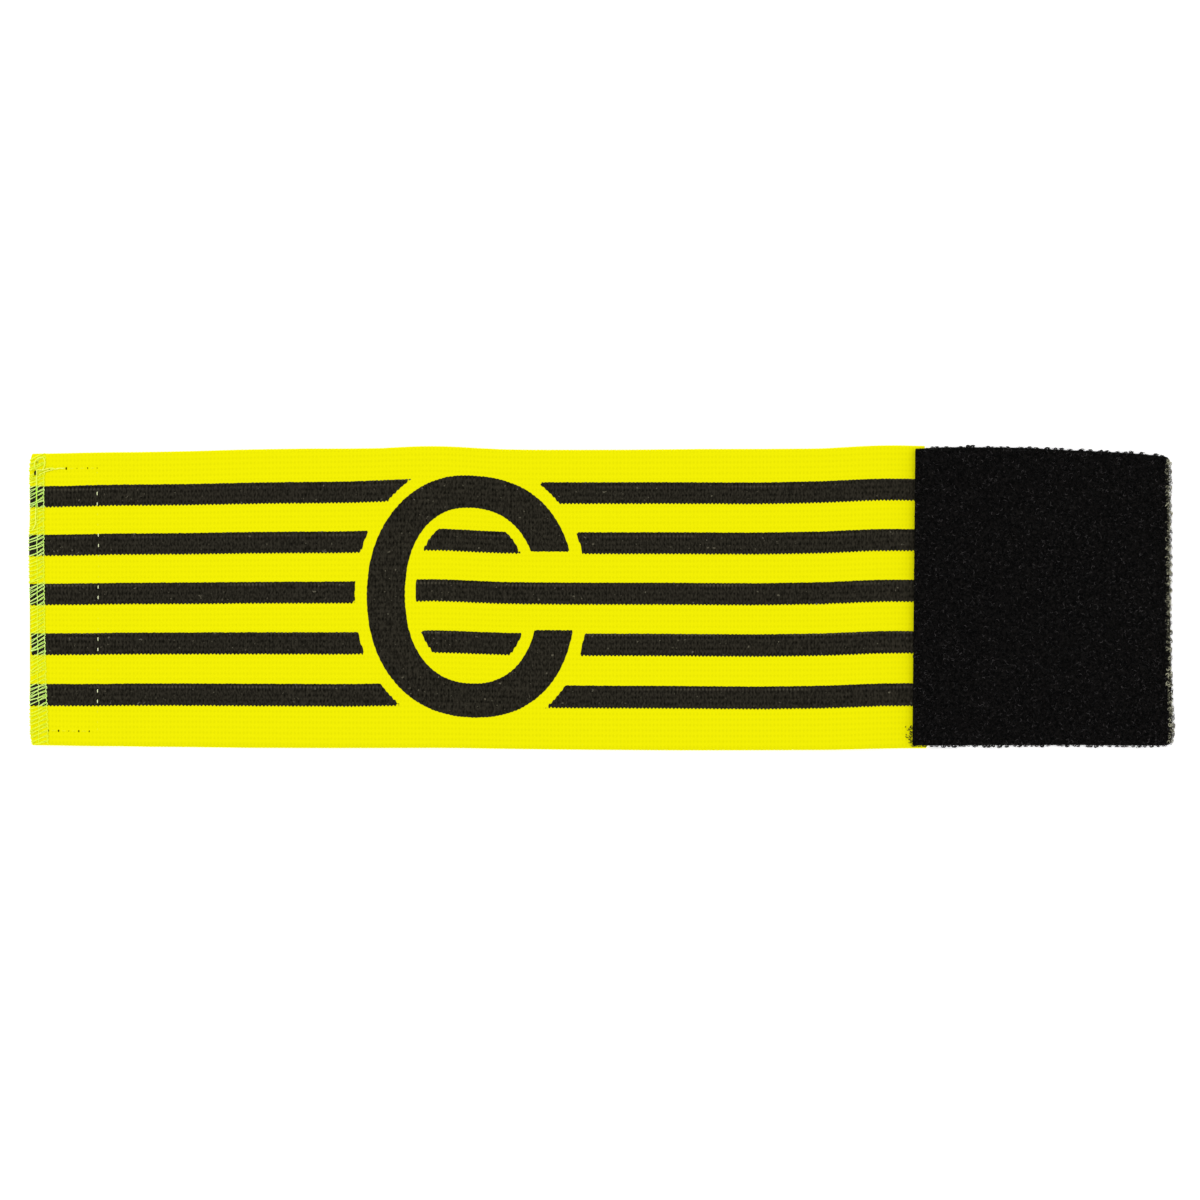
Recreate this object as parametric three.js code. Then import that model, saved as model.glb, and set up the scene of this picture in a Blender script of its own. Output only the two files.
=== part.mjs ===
// A captain's armband, laid open on a table with its printed side up: a wide woven elastic band,
// a brushed loop patch sewn over its right end, and a hook tape sewn under its left end.
// Worn, it goes round the upper arm, and the hook tape presses onto the loop patch.
// Millimetres. X runs along the band, Y across it and Z up. The origin is on the table, under the middle.
import * as THREE from 'three';

// Sizes of the elastic band
const bandLength = 269.2;
const bandWidth = 90;
const bandThickness = 1.4;
const bandCornerRound = 1.5;
const bandEdgeWander = 0.75; // how far a long edge strays outwards from straight
const waveLift = 1.2; // how high the band stands off the table where it buckles

// Sizes of the loop patch. Near is the edge at low Y, far the edge at high Y
const patchNearLength = 78.6;
const patchFarLength = 76;
const patchWidth = 88.8;
const patchThickness = 2.2;
const patchCornerRound = 1; // at its cut end, away from the band
const patchEdgeWander = 0.8; // how far a long edge strays outwards from straight
const nearOverlap = 5.2; // how far the patch lies over the band's end, along its near edge
const farOverlap = 4.2;
const patchSlope = 9; // the length over which the patch comes down to the table

// Sizes of the hook tape
const tapeWidth = 20; // along the band
const tapeLength = 80.8; // across the band
const tapeThickness = 1.2;
const tapeInset = 1.5; // from the band's end
const tapeSlope = 12; // the length over which the band comes down to the table

// Sizes of the print: five stripes, and the letter C that marks a captain
const printThickness = 0.3;
const stripeWidth = 6.4;
const stripePitch = 15.25;
const stripeRaise = 1.75; // the middle stripe above the band's centre line
const stripeInset = 0.6; // from the band's left end
const letterCentre = 132.4; // from the band's left end
const letterRaise = 0.5; // above the band's centre line
const letterWidth = 63.5;
const letterHeight = 72.4;
const letterSquareness = 2.2; // 2 would make its two outlines plain ellipses
const sideStroke = 11.7;
const endStroke = 9.95;
const mouthHeight = 23.5;
const mouthRaise = 2; // above the letter's middle
const outerHalo = 3.7; // the bare gap round the outside of the letter
const innerHalo = 3.3; // the bare gap inside it

// Fits
const clearance = 0.3; // between pieces that touch

// Steps of the faceted walls
const fineStep = 2;
const coarseStep = 6;
const endMargin = 1; // the least length of a panel beside a slanting end
const edgeRound = 1.2; // the width of a rounded long edge
const edgeThickness = 0.55; // a share of the wall, at the edge itself
const letterSegments = 56;

// What the band's outline and height do along its length. far and near are shares of bandEdgeWander,
// towards +Y, and lift is a share of waveLift.
const bandSections = [
  { along: 0.0, far: -2.1, near: 1.1, lift: 0 },
  { along: 0.08, far: -1.7, near: 0.7, lift: 0 },
  { along: 0.17, far: -1.3, near: 0.6, lift: 0 },
  { along: 0.26, far: -0.5, near: 0.3, lift: 0.1 },
  { along: 0.35, far: -0.1, near: 0.1, lift: 0.6 },
  { along: 0.45, far: 0.7, near: 0, lift: 1 },
  { along: 0.53, far: -0.5, near: -0.5, lift: 0.3 },
  { along: 0.6, far: -0.5, near: -0.8, lift: 0 },
  { along: 0.79, far: -0.2, near: -1, lift: 0 },
  { along: 0.88, far: 0.1, near: -0.9, lift: 0.5 },
  { along: 0.93, far: 0.8, near: -0.4, lift: 0.8 },
  { along: 0.97, far: 1, near: -0.1, lift: 0.2 },
  { along: 1.0, far: 0.7, near: -0.1, lift: 0 },
];

// What the patch does along its length. far and near are shares of patchEdgeWander, towards +Y,
// and wall is a share of patchThickness, thin where the seam presses it.
const patchSections = [
  { along: 0.0, far: 0.2, near: 0.3, wall: 0.8 },
  { along: 0.035, far: 0.4, near: 0.2, wall: 0.7 },
  { along: 0.08, far: 0.8, near: 0, wall: 1 },
  { along: 0.18, far: 1, near: 0.1, wall: 1 },
  { along: 0.42, far: 0.8, near: 0.1, wall: 1 },
  { along: 0.58, far: 0, near: 0.2, wall: 1 },
  { along: 0.73, far: -0.6, near: 0.1, wall: 1 },
  { along: 0.88, far: -1.4, near: 0, wall: 1 },
  { along: 1.0, far: -2.4, near: 0.1, wall: 1 },
];

// The stripes from the far edge to the near one. place is a count of pitches above the middle
// stripe. inside says where else the stripe shows: nowhere inside the letter, in its counter
// alone, or from the counter out through the mouth.
const stripes = [
  { name: 'stripe_1', place: 1.96, inside: 'nowhere' },
  { name: 'stripe_2', place: 0.99, inside: 'counter' },
  { name: 'stripe_3', place: 0, inside: 'mouth' },
  { name: 'stripe_4', place: -1.01, inside: 'counter' },
  { name: 'stripe_5', place: -2.04, inside: 'nowhere' },
];

// Sizes that follow from those above
const tapeEnd = tapeInset + tapeWidth;
const tapeLift = tapeThickness + clearance;
const patchLift = bandThickness + clearance;
const patchNearStart = bandLength - nearOverlap;
const patchFarStart = bandLength - farOverlap;
const overallLength = patchNearStart + patchNearLength;
const stripeEnd = Math.min(patchNearStart, patchFarStart) - clearance;

const finishes = {
  elastic: new THREE.MeshStandardMaterial({ color: 0xf4f002, roughness: 0.75, metalness: 0 }),
  print: new THREE.MeshStandardMaterial({ color: 0x26241c, roughness: 0.7, metalness: 0 }),
  loop: new THREE.MeshStandardMaterial({ color: 0x0e0d0d, roughness: 0.95, metalness: 0 }),
  hook: new THREE.MeshStandardMaterial({ color: 0x161616, roughness: 0.55, metalness: 0 }),
};

// The slope of a column at one row, level at every peak, dip and flat so that no curve overshoots
function slopeAt(sections, row, column) {
  const before = sections[row - 1];
  const here = sections[row];
  const after = sections[row + 1];
  if (!before || !after) return 0;
  const rising = (here[column] - before[column]) / (here.along - before.along);
  const next = (after[column] - here[column]) / (after.along - here.along);
  return rising * next <= 0 ? 0 : (2 * rising * next) / (rising + next);
}

// A column's value at any place along, on a smooth curve through the rows
function valueAt(sections, along, column) {
  const share = THREE.MathUtils.clamp(along, 0, 1);
  let row = sections.length - 2;
  while (sections[row].along > share) row--;
  const start = sections[row];
  const end = sections[row + 1];
  const span = end.along - start.along;
  const t = (share - start.along) / span;
  const values = THREE.MathUtils.lerp(start[column], end[column], t * t * (3 - 2 * t));
  const slopes = t * (1 - t) ** 2 * slopeAt(sections, row, column)
    - t * t * (1 - t) * slopeAt(sections, row + 1, column);
  return values + slopes * span;
}

// How far a rounded corner sets the end of a piece back, at a distance from its long edge
function cornerSetback(distance, radius) {
  const q = THREE.MathUtils.clamp(1 - distance / radius, 0, 1);
  return radius * (1 - Math.sqrt(1 - q * q));
}

// The wall's thickness as a share, thinner at a rounded long edge
function edgeShare(distance) {
  return THREE.MathUtils.lerp(edgeThickness, 1, THREE.MathUtils.clamp(distance / edgeRound, 0, 1));
}

// The height of the band's underside above the table
function bandRise(x) {
  const overTape = 1 - THREE.MathUtils.smoothstep(x, tapeEnd + clearance, tapeEnd + clearance + tapeSlope);
  return overTape * tapeLift + waveLift * valueAt(bandSections, x / bandLength, 'lift');
}

// The place across the table of a point that lies `across` from the band's centre line when it is straight
function bandAcross(x, across) {
  const along = x / bandLength;
  const far = bandWidth / 2 + bandEdgeWander * valueAt(bandSections, along, 'far');
  const near = -bandWidth / 2 + bandEdgeWander * valueAt(bandSections, along, 'near');
  return THREE.MathUtils.lerp(near, far, across / bandWidth + 0.5);
}

// The height of the patch's underside above the table
function patchRise(x) {
  const bandEnd = bandLength + clearance;
  const overBand = 1 - THREE.MathUtils.smoothstep(x, bandEnd, bandEnd + patchSlope);
  return overBand * patchLift;
}

// The places along the band where its wall is divided, close together where it comes off the tape
function bandStations(from, to) {
  const fineEnd = tapeEnd + clearance + tapeSlope;
  const stations = [];
  for (let x = 0; x < fineEnd; x += fineStep) stations.push(x);
  for (let x = fineEnd; x < bandLength - endMargin; x += coarseStep) stations.push(x);
  return stations.filter((x) => x > from && x < to);
}

// The places across a cloth wall where it is divided, with one panel for each rounded long edge
function acrossStations(width, panels) {
  const inner = width / 2 - edgeRound;
  const stations = [-width / 2];
  for (let i = 0; i <= panels; i++) stations.push(THREE.MathUtils.lerp(-inner, inner, i / panels));
  return [...stations, width / 2];
}

// A closed wall: a box divided at the stations, with each corner then moved to where `place` puts it.
// A station along the wall is a number, or a function of the place across where the end slants.
function clothWall(along, across, place) {
  const box = new THREE.BoxGeometry(1, 1, 1, along.length - 1, across.length - 1, 1);
  const corners = box.attributes.position;
  const corner = new THREE.Vector3();
  for (let i = 0; i < corners.count; i++) {
    corner.fromBufferAttribute(corners, i);
    const y = across[Math.round((corner.y + 0.5) * (across.length - 1))];
    const station = along[Math.round((corner.x + 0.5) * (along.length - 1))];
    const x = typeof station === 'function' ? station(y) : station;
    corners.setXYZ(i, ...place(x, y, corner.z + 0.5));
  }
  box.computeVertexNormals();
  return box;
}

// The woven elastic band, lying over the hook tape at its left end
function elasticBand() {
  const along = [0, ...bandStations(0, bandLength), bandLength];
  const reach = 2 * fineStep;
  return clothWall(along, acrossStations(bandWidth, 6), (x, y, level) => {
    const distance = bandWidth / 2 - Math.abs(y);
    const setback = cornerSetback(distance, bandCornerRound) * Math.max(0, 1 - x / reach);
    const wall = bandThickness * edgeShare(distance);
    const underside = bandRise(x) + (bandThickness - wall) / 2;
    return [x + setback, bandAcross(x, y), underside + wall * level];
  });
}

// The brushed loop patch, lying over the band's right end and then on the table
function loopPatch() {
  const steps = Math.round(patchNearLength / (2 * fineStep));
  const along = [];
  for (let i = 0; i <= steps; i++) along.push(i / steps);
  return clothWall(along, acrossStations(patchWidth, 6), (share, y, level) => {
    const distance = patchWidth / 2 - Math.abs(y);
    const towardsFar = y / patchWidth + 0.5;
    const start = THREE.MathUtils.lerp(patchNearStart, patchFarStart, towardsFar);
    const length = THREE.MathUtils.lerp(patchNearLength, patchFarLength, towardsFar);
    const setback = share > 0.5 ? cornerSetback(distance, patchCornerRound) : 0;
    const x = start + share * length - setback * (2 * share - 1) ** steps;
    const far = patchWidth / 2 + patchEdgeWander * valueAt(patchSections, share, 'far');
    const near = -patchWidth / 2 + patchEdgeWander * valueAt(patchSections, share, 'near');
    const full = patchThickness * valueAt(patchSections, share, 'wall');
    const wall = full * edgeShare(distance);
    return [x, THREE.MathUtils.lerp(near, far, towardsFar), patchRise(x) + wall * level];
  });
}

// The hook tape, flat on the table under the band's left end, with its hooks down
function hookTape() {
  const across = [-tapeLength / 2, tapeLength / 2];
  const middle = bandAcross(tapeInset + tapeWidth / 2, 0);
  return clothWall([tapeInset, tapeEnd], across, (x, y, level) => [x, middle + y, level * tapeThickness]);
}

// Where a point of the print lies on the band
function onBand(x, y, level) {
  const height = bandRise(x) + bandThickness + clearance + level * printThickness;
  return [x, bandAcross(x, y), height];
}

// Half the width of one of the letter's ovals at a place across the band. It is never nothing, so
// that two stripes never meet
function ovalReach(y, halfWidth, halfHeight) {
  const share = Math.min(1, Math.abs(y - letterRaise) / halfHeight);
  return Math.max(clearance, halfWidth * (1 - share ** letterSquareness) ** (1 / letterSquareness));
}

// The points of one of the letter's outlines, from the mouth's upper cut round to its lower one
function letterOutline(halfWidth, halfHeight) {
  const power = 2 / letterSquareness;
  const curved = (value) => Math.sign(value) * Math.abs(value) ** power;
  const angleAt = (height) => Math.asin(Math.sign(height) * Math.abs(height / halfHeight) ** (1 / power));
  const from = angleAt(mouthRaise + mouthHeight / 2);
  const to = 2 * Math.PI + angleAt(mouthRaise - mouthHeight / 2);
  const points = [];
  for (let i = 0; i <= letterSegments; i++) {
    const angle = THREE.MathUtils.lerp(from, to, i / letterSegments);
    points.push(new THREE.Vector2(
      halfWidth * curved(Math.cos(angle)),
      halfHeight * curved(Math.sin(angle)),
    ));
  }
  return points;
}

// The letter C: the ring between two squarish ovals, open to the right between two level cuts
function captainLetter() {
  const outer = letterOutline(letterWidth / 2, letterHeight / 2);
  const inner = letterOutline(letterWidth / 2 - sideStroke, letterHeight / 2 - endStroke);
  const outline = new THREE.Shape([...outer, ...inner.reverse()]);
  const letter = new THREE.ExtrudeGeometry(outline, { depth: 1, bevelEnabled: false });
  const corners = letter.attributes.position;
  for (let i = 0; i < corners.count; i++) {
    const x = letterCentre + corners.getX(i);
    const y = letterRaise + corners.getY(i);
    corners.setXYZ(i, ...onBand(x, y, corners.getZ(i)));
  }
  letter.computeVertexNormals();
  return letter;
}

// One stretch of a stripe. Its ends are functions of the place across the band
function stripePanel(centre, start, end) {
  const across = [-1, 0, 1].map((side) => centre + (side * stripeWidth) / 2);
  const from = Math.max(...across.map(start)) + endMargin;
  const to = Math.min(...across.map(end)) - endMargin;
  return clothWall([start, ...bandStations(from, to), end], across, onBand);
}

// The stretches of one stripe, stopping short of the letter
function stripePanels({ name, place, inside }) {
  const centre = stripeRaise + place * stripePitch;
  const outside = (y) => ovalReach(y, letterWidth / 2 + outerHalo, letterHeight / 2 + outerHalo);
  const within = (y) => ovalReach(
    y,
    letterWidth / 2 - sideStroke - innerHalo,
    letterHeight / 2 - endStroke - innerHalo,
  );
  const leftStart = () => stripeInset;
  const leftEnd = (y) => letterCentre - outside(y);
  const rightStart = (y) => letterCentre + outside(y);
  const rightEnd = () => stripeEnd;
  const insideStart = (y) => letterCentre - within(y);
  const insideEnd = (y) => letterCentre + within(y);
  const panels = [[`${name}_left`, stripePanel(centre, leftStart, leftEnd)]];
  if (inside === 'counter') panels.push([`${name}_middle`, stripePanel(centre, insideStart, insideEnd)]);
  const rightFrom = inside === 'mouth' ? insideStart : rightStart;
  panels.push([`${name}_right`, stripePanel(centre, rightFrom, rightEnd)]);
  return panels;
}

const armband = new THREE.Group();
armband.position.x = -overallLength / 2;

function addPiece(name, geometry, finish) {
  const piece = new THREE.Mesh(geometry, finish);
  piece.name = name;
  armband.add(piece);
}

addPiece('elastic_band', elasticBand(), finishes.elastic);
addPiece('loop_patch', loopPatch(), finishes.loop);
addPiece('hook_tape', hookTape(), finishes.hook);
addPiece('captain_letter', captainLetter(), finishes.print);
for (const stripe of stripes) {
  for (const [name, geometry] of stripePanels(stripe)) addPiece(name, geometry, finishes.print);
}

export default armband;
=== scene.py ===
# %% [markdown]
# # A captain's armband
#
# The object is a strip of wide woven elastic, printed with five stripes and a letter C. A patch of
# brushed loop fabric is sewn over its right end, and a hook tape under its left end. It lies open
# on a table, and the camera looks straight down at it. This script dresses the plain solids of the
# frame in cloth, thread and pile. Each step says what the real thing is and how it is made here.

# %% Load the frame
import math

import bmesh
import bpy
import numpy as np
from mathutils import Matrix, Vector, noise
from mathutils.bvhtree import BVHTree


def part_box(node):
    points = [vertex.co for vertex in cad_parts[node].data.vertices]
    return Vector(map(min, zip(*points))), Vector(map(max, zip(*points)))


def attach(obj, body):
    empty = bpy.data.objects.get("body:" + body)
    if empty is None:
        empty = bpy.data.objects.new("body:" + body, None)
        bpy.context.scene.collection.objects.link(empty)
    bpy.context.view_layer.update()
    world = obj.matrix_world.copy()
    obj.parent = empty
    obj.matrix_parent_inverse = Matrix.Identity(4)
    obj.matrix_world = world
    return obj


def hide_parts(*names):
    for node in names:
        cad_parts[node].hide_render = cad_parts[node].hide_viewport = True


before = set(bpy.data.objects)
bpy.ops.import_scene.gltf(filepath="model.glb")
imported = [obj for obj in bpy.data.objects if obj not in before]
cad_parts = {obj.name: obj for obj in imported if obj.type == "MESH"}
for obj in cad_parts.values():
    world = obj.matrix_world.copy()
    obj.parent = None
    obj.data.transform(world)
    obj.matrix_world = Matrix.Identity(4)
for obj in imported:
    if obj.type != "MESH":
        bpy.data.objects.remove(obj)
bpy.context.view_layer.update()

MM = 0.001  # Blender's unit is the metre
print("nodes in the frame:", sorted(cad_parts))

# %% [markdown]
# ## The camera
#
# The photograph was taken straight down from some way off, so nothing leans. An 85 mm lens at
# 0.85 m sees 360 mm of table, which is the photograph's width at 0.3 mm to the pixel. The object
# isn't quite in the middle of the photograph, so the camera stands a little to one side.

# %% Camera
PIXEL = 0.3 * MM  # one pixel of the photograph
PHOTO_SIDE = 1200  # pixels
LENS = 85.0
SENSOR = 36.0
CAMERA_X = -0.6 * MM
CAMERA_Y = -0.7 * MM
CLOTH_HEIGHT = 2 * MM  # the height of most of what the camera sees

camera_data = bpy.data.cameras.new("camera")
camera_data.lens = LENS
camera_data.sensor_width = SENSOR
camera = bpy.data.objects.new("camera", camera_data)
camera_height = PIXEL * PHOTO_SIDE * LENS / SENSOR + CLOTH_HEIGHT
camera.location = (CAMERA_X, CAMERA_Y, camera_height)
bpy.context.scene.collection.objects.link(camera)
bpy.context.scene.camera = camera
print("camera height in mm:", round(camera_height / MM))

# %% [markdown]
# ## Colours and nodes
#
# Colours are chosen as they look on a screen, in sRGB hex. Blender's sockets hold linear values, so
# one function turns a hex value to linear. Another small function adds a shader node with its
# settings and its links, which keeps each material readable as a list of steps. A value that is the
# same all over a piece is set on the Principled shader itself.


# %% Helpers for materials
ATTRIBUTE = "ShaderNodeAttribute"
BUMP = "ShaderNodeBump"
MATH = "ShaderNodeMath"
MIX = "ShaderNodeMix"
NOISE = "ShaderNodeTexNoise"
PLACE = "ShaderNodeTexCoord"
RANGE = "ShaderNodeMapRange"
COLOURS = {"output": 2, "data_type": "RGBA"}  # a Mix node for colours, which go in at 6 and 7
NYLON_IOR = 1.53


def linear(hex_colour):
    """An sRGB hex colour such as 0xF5F002 as linear red, green, blue and alpha."""
    shares = [((hex_colour >> shift) & 255) / 255 for shift in (16, 8, 0)]
    return (*[s / 12.92 if s <= 0.04045 else ((s + 0.055) / 1.055) ** 2.4 for s in shares], 1.0)


def add_node(tree, kind, inputs=(), output=0, to="", **settings):
    """Adds a node and returns one of its outputs, linked to the shader's socket that to names."""
    node = tree.nodes.new(kind)
    for name, value in settings.items():
        setattr(node, name, value)
    for socket, value in dict(inputs).items():
        if isinstance(value, bpy.types.NodeSocket):
            tree.links.new(value, node.inputs[socket])
        else:
            node.inputs[socket].default_value = value
    if to:
        tree.links.new(node.outputs[output], tree.nodes["Principled BSDF"].inputs[to])
    return node.outputs[output]


def new_material(name, roughness, specular, ior=1.5, more=()):
    """A material whose Principled shader has those plain values. Returns it with its node tree."""
    material = bpy.data.materials.new(name)
    material.use_nodes = True
    shader = material.node_tree.nodes["Principled BSDF"]
    plain = {"Roughness": roughness, "Specular IOR Level": specular, "IOR": ior, **dict(more)}
    for socket, value in plain.items():
        shader.inputs[socket].default_value = value
    return material, material.node_tree


# %% [markdown]
# ## The table and the light
#
# The photograph has a pure white ground and almost no shadow. A white sky gives even light from
# all round, and one wide soft light high above and a little to the far left gives the ribs of the
# weave a bright and a dim side. Together they make the white ground just reach full white. The
# ground is a lit white table, which glows faintly itself, so that hardly a shadow shows beside the
# cloth. The Standard view keeps a neon yellow as strong as it is: a film-like view would pale it.

# %% Table, sky and lights
FLOOR_SIDE = 6.0
SKY_STRENGTH = 0.88
KEY_WATTS = 6.0
KEY_SIDE = 0.7
KEY_PLACE = Vector((-0.5, 0.7, 1.6))
TABLE_GLOW = 0.36
TABLE_DROP = 0.1 * MM  # how far the table's face lies below the cloth

scene = bpy.context.scene
scene.view_settings.view_transform = "Standard"
scene.view_settings.look = "None"

sky = bpy.data.worlds.new("white_sky")
sky.use_nodes = True
sky.node_tree.nodes["Background"].inputs["Color"].default_value = (1, 1, 1, 1)
sky.node_tree.nodes["Background"].inputs["Strength"].default_value = SKY_STRENGTH
scene.world = sky

key_data = bpy.data.lights.new("soft_light", "AREA")
key_data.shape = "SQUARE"
key_data.size = KEY_SIDE
key_data.energy = KEY_WATTS
key = bpy.data.objects.new("soft_light", key_data)
key.location = KEY_PLACE
key.rotation_euler = (-KEY_PLACE).to_track_quat("-Z", "Y").to_euler()
scene.collection.objects.link(key)


def finished(name, shape):
    """Turns a bmesh into a mesh with smooth faces, and frees the bmesh."""
    for face in shape.faces:
        face.smooth = True
    mesh = bpy.data.meshes.new(name)
    shape.to_mesh(mesh)
    shape.free()
    return mesh


table_top, _ = new_material("light_table_white_matt", roughness=0.9, specular=0.0, more={
    "Base Color": linear(0xFCFCFC),
    "Emission Color": linear(0xFFFFFF),
    "Emission Strength": TABLE_GLOW,
})
floor_shape = bmesh.new()
bmesh.ops.create_grid(floor_shape, x_segments=1, y_segments=1, size=FLOOR_SIDE / 2)
bmesh.ops.translate(floor_shape, verts=floor_shape.verts, vec=(0, 0, -TABLE_DROP))
floor_mesh = finished("table", floor_shape)
floor_mesh.materials.append(table_top)
floor = bpy.data.objects.new("table", floor_mesh)
scene.collection.objects.link(floor)
print("table's side in m:", FLOOR_SIDE)

# %% [markdown]
# ## Reading a cloth's form from the frame
#
# The frame holds each cloth as a faceted solid, with its true outline and buckles. Rays shot at
# that solid from above, from below and from both sides give its height and its two long edges at
# any place along. The readings are smoothed a little, because a facet's corner isn't in the cloth.


# %% Read a cloth
READINGS = 400  # along a cloth's length
FAR_AWAY = 0.2  # where the rays start
WELD = 0.0001 * MM  # vertices closer than this are merged


class Cloth:
    """The form of one cloth: its height and long edges at any place along, in metres."""

    def __init__(self, node, margin, smoothing):
        self.low, self.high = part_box(node)
        solid = bmesh.new()
        solid.from_mesh(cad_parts[node].data)
        bmesh.ops.remove_doubles(solid, verts=solid.verts, dist=WELD)
        self.tree = BVHTree.FromBMesh(solid)
        solid.free()
        self.x = np.linspace(self.low.x + margin, self.high.x - margin, READINGS)
        reach = round(smoothing / (self.x[1] - self.x[0]))
        top = self.read(lambda x: ((x, 0, FAR_AWAY), (0, 0, -1)), 2)
        bottom = self.read(lambda x: ((x, 0, -FAR_AWAY), (0, 0, 1)), 2)
        heights = dict(zip(self.x, (top + bottom) / 2))
        far = self.read(lambda x: ((x, FAR_AWAY, heights[x]), (0, -1, 0)), 1)
        near = self.read(lambda x: ((x, -FAR_AWAY, heights[x]), (0, 1, 0)), 1)
        self.top, self.bottom, self.far, self.near = [
            self.smoothed(line, reach) for line in (top, bottom, far, near)
        ]

    def read(self, ray, axis):
        """Where a ray meets the solid, for each place along."""
        return np.array([self.tree.ray_cast(*map(Vector, ray(x)))[0][axis] for x in self.x])

    def smoothed(self, line, reach):
        """A running mean, with both ends held."""
        kernel = np.ones(2 * reach + 1) / (2 * reach + 1)
        return np.convolve(np.pad(line, reach, mode="edge"), kernel, mode="valid")

    def at(self, line, x):
        """One of the readings at a place along."""
        return float(np.interp(x, self.x, line))

    def point(self, x, share, height=1.0):
        """A point of the cloth: share goes from 0 at the near edge to 1 at the far one."""
        y = self.at(self.near, x) + share * (self.at(self.far, x) - self.at(self.near, x))
        z = self.at(self.bottom, x) + height * (self.at(self.top, x) - self.at(self.bottom, x))
        return Vector((x, y, z))


band = Cloth("elastic_band", margin=2.2 * MM, smoothing=2.5 * MM)
patch = Cloth("loop_patch", margin=2.4 * MM, smoothing=1.2 * MM)
print("band's underside rises by mm:", round((max(band.bottom) - min(band.bottom)) / MM, 2))

# %% [markdown]
# ## Rolling a sheet into a cloth
#
# A cloth has two faces and two long edges, so its cross-section is a long flat loop. A plain grid
# is rolled round that loop like a paper tube and pressed flat, and its two ends are then filled.
# One grid gives every cloth here its faces, its edges and a UV map that can't overlap itself. The
# map's V runs round the loop, so the top face takes its first part.


# %% The cloth builder
EDGE_ANGLES = (50, 0, -50)  # degrees, the steps round a long edge


def cross_section(width, edge, top_steps, under_steps):
    """The loop as rows of place across, level (1 top, -1 underside) and step, from near on top."""
    flat = width / 2 - edge
    rows = [(flat * (2 * k / top_steps - 1), 1.0, k) for k in range(top_steps + 1)]
    turns = [(math.cos(math.radians(a)), math.sin(math.radians(a))) for a in EDGE_ANGLES]
    rows += [(flat + edge * out, level, 1) for out, level in turns]
    rows += [(-flat * (2 * k / under_steps - 1), -1.0, k) for k in range(under_steps + 1)]
    rows += [(-flat - edge * out, level, 1) for out, level in reversed(turns)]
    return rows


def distances_round(rows, thickness):
    """How far round the loop each row lies, with the whole way round as the last value."""
    places = [Vector((across, level * thickness / 2)) for across, level, _ in rows]
    steps = [(b - a).length for a, b in zip(places, places[1:] + places[:1])]
    return np.concatenate([[0], np.cumsum(steps)])


def roll_cloth(name, columns, rows, thickness, place, extras=()):
    """A closed cloth. place gives the point for a column and row, and extras are named numbers."""
    around = distances_round(rows, thickness)
    shape = bmesh.new()
    uv = shape.loops.layers.uv.new("weave")
    numbers = shape.verts.layers.float
    layers = {numbers.new(extra): worked_out for extra, worked_out in dict(extras).items()}
    bmesh.ops.create_grid(shape, x_segments=columns, y_segments=len(rows), size=0.5, calc_uvs=True)
    for face in shape.faces:
        for loop in face.loops:
            loop[uv].uv.y = around[round(loop[uv].uv.y * len(rows))] / around[-1]
    for vertex in shape.verts:
        column = round((vertex.co.x + 0.5) * columns)
        row = rows[round((vertex.co.y + 0.5) * len(rows)) % len(rows)]
        for layer, worked_out in layers.items():
            vertex[layer] = worked_out(column, row)
        vertex.co = place(column, row)
    bmesh.ops.remove_doubles(shape, verts=shape.verts, dist=WELD)
    bmesh.ops.holes_fill(shape, edges=[e for e in shape.edges if e.is_boundary], sides=0)
    bmesh.ops.recalc_face_normals(shape, faces=shape.faces)
    return finished(name, shape)


def add_piece(name, mesh, material):
    """Puts a mesh in the scene as a piece of the armband."""
    mesh.materials.append(material)
    piece = bpy.data.objects.new(name, mesh)
    scene.collection.objects.link(piece)
    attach(piece, "root")
    mesh.calc_loop_triangles()
    print(f"{name}: {len(mesh.loop_triangles)} triangles")
    return piece


# %% [markdown]
# ## The print
#
# The stripes and the letter are ink, so they have an outline but no height. For every vertex of
# the top face a function works out how deep inside the ink it lies, in millimetres, with values
# below zero outside. That number changes evenly from vertex to vertex, so the shader can cut it
# at zero and get an outline far finer than the mesh. The letter is the ring between two squarish
# ovals, with a slot for its mouth. An oval with a squareness of 2 is an ellipse, and more gives it
# fuller corners. The right halves are narrower and fuller than the left ones. The stripes stop
# short of the letter all round, and they rise and fall a little along the band, as they do where
# cloth creeps under a printing screen.

# %% The print's outline
STRIPE_PITCH = 15.25  # millimetres, as all the lengths of the print
MIDDLE_STRIPE = 1.75
STRIPES = (  # how many pitches up each lies, and its width
    (1.966, 6.45), (0.984, 6.5), (-0.007, 6.55), (-1.01, 6.65), (-2.034, 6.75),
)
STRIPE_RISES = (  # place along, and how far the stripes have risen there
    (0, -0.3), (16, -0.15), (27, 0), (96, -0.05), (120, 0.35), (150, 0.1), (190, 0.05),
    (218, -0.17), (243, 0.05), (255, 0.15), (268, 0.1),
)
OVALS = {  # middle along; then, left and right of it: middle across, half sizes and squareness
    "letter_outside": (132.5, (0.4, 31.75, 36.2, 2.16), (0.4, 30.7, 36.2, 2.28)),
    "letter_counter": (132.25, (0.65, 20.0, 26.25, 2.24), (0.65, 19.8, 26.25, 2.26)),
    "outer_halo": (132.55, (0.1, 35.5, 40.4, 2.06), (0.15, 34.35, 40.4, 2.2)),
    "inner_halo": (132.2, (1.05, 16.9, 22.8, 2.2), (1.05, 16.9, 22.8, 2.2)),
}
MOUTH_START = 132.4
MOUTH_MIDDLE = 2.5
MOUTH_HALF = 11.75
MOUTH_HALO = 3.4
TINY = 1e-6  # keeps an oval's slope above zero in its very middle


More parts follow.
